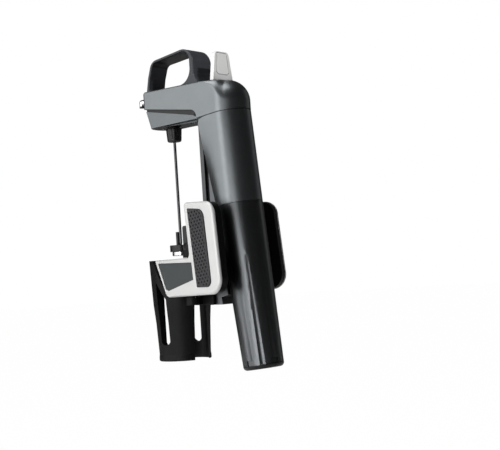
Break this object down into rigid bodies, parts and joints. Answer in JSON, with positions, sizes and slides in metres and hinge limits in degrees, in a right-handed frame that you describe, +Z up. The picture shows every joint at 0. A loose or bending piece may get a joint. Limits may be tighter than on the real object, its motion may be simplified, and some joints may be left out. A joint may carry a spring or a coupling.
{
  "type": "wine preservation dispenser",
  "caption": "Hand-held wine dispenser that clamps on a bottle neck, feeds gas through a hollow needle in the cork and pours through a spout by a trigger valve.",
  "frame": {"origin": "on the axis of the needle and of the bottle neck, 2 mm below the top faces of the two clamp jaws", "axes": "+Z up along the needle, -Y towards the spout, +Y towards the gas tube, +X the left jaw"},
  "size_m": [0.0734, 0.1132, 0.2263],
  "materials": {
    "graphite_cast": "satin graphite finish on a die-cast shell",
    "graphite_cup": "dark satin finish on a turned aluminium cup",
    "black_moulding": "black moulded nylon, fine spark texture",
    "silver_frame": "bead-blasted aluminium, clear anodised",
    "grip_rubber": "moulded soft grip with small studs",
    "grey_inset": "grey moulded inset panel",
    "trigger_satin": "pale satin die-cast lever",
    "polished_steel": "polished stainless tube",
    "coated_needle": "stainless needle with a dark low-friction coating",
    "fastener_steel": "plain machine steel",
    "valve_brass": "turned brass",
    "slide_acetal": "natural acetal bearing",
    "seal_rubber": "nitrile seal",
    "clear_tube": "soft clear tube",
    "capsule_steel": "drawn steel capsule"
  },
  "bodies": {
    "main": {"head_shell": "graphite_cast", "chin_cover": "graphite_cast", "head_chassis": "black_moulding", "chin_screws": "fastener_steel", "handle_loop": "black_moulding", "trigger_pin": "fastener_steel", "trigger_spring": "fastener_steel", "valve_body": "valve_brass", "valve_spring": "fastener_steel", "needle_socket": "black_moulding", "gas_line": "clear_tube", "gas_tube": "clear_tube", "spout_tube": "polished_steel", "spout_mouth": "seal_rubber", "wine_tube": "clear_tube", "body_shell": "graphite_cast", "regulator_body": "valve_brass", "regulator_piston": "valve_brass", "regulator_spring": "fastener_steel", "regulator_cap": "valve_brass", "piercing_pin": "fastener_steel", "capsule_seal": "seal_rubber", "rail_track": "graphite_cup", "rail_screws": "fastener_steel", "spine_bracket": "graphite_cup", "spine_lower": "graphite_cup", "spine_screws": "fastener_steel", "rail_stop": "black_moulding"},
    "trigger": {"trigger": "trigger_satin", "trigger_inset": "grip_rubber"},
    "valve_stem": {"valve_stem": "fastener_steel"},
    "needle": {"needle_tube": "coated_needle", "needle_hub": "black_moulding", "needle_seal": "seal_rubber"},
    "capsule": {"gas_capsule": "capsule_steel"},
    "cup": {"capsule_cup": "graphite_cup", "cup_base": "black_moulding", "cup_cushion": "seal_rubber"},
    "carriage": {"carriage": "black_moulding", "glide_pads": "slide_acetal", "needle_guide": "black_moulding", "guide_bush": "polished_steel", "left_pivot_pin": "fastener_steel", "left_jaw_spring": "fastener_steel", "right_pivot_pin": "fastener_steel", "right_jaw_spring": "fastener_steel"},
    "left_jaw": {"left_jaw": "black_moulding", "left_frame": "silver_frame", "left_grip_pad": "grip_rubber", "left_inset": "grey_inset"},
    "right_jaw": {"right_jaw": "black_moulding", "right_frame": "silver_frame", "right_grip_pad": "grip_rubber", "right_inset": "grey_inset"}
  },
  "joints": [
    {"name": "clamp_slide", "type": "slide", "parent": "main", "child": "carriage", "axis": [0, 0, 1], "range_m": [0, 0.059]},
    {"name": "left_jaw_hinge", "type": "hinge", "parent": "carriage", "child": "left_jaw", "pos_m": [0.0165, 0.022, -0.011], "axis": [0, 0, 1], "range_deg": [0, 14], "stiffness_Nm_per_rad": 0.5, "springref_deg": -11.46},
    {"name": "right_jaw_hinge", "type": "hinge", "parent": "carriage", "child": "right_jaw", "pos_m": [-0.0165, 0.022, -0.011], "axis": [0, 0, -1], "range_deg": [0, 14], "stiffness_Nm_per_rad": 0.5, "springref_deg": -11.46},
    {"name": "trigger_hinge", "type": "hinge", "parent": "main", "child": "trigger", "pos_m": [0, 0.046, 0.112], "axis": [1, 0, 0], "range_deg": [0, 12], "stiffness_Nm_per_rad": 0.1, "springref_deg": -17.19},
    {"name": "valve_push", "type": "slide", "parent": "main", "child": "valve_stem", "axis": [0, -1, 0], "range_m": [0, 0.0012]},
    {"name": "needle_turn", "type": "hinge", "parent": "main", "child": "needle", "pos_m": [0, 0, 0.09], "axis": [0, 0, 1], "continuous": true},
    {"name": "cup_draw", "type": "slide", "parent": "main", "child": "capsule", "axis": [0, 0.1063, -0.9943], "range_m": [0, 0.1]},
    {"name": "cup_turn", "type": "hinge", "parent": "capsule", "child": "cup", "pos_m": [0, 0.0561, 0.0368], "axis": [0, 0.1063, -0.9943], "continuous": true}
  ],
  "couplings": [
    {"joint": "valve_push", "follows": "trigger_hinge", "m_per_rad": 0.0057}
  ]
}
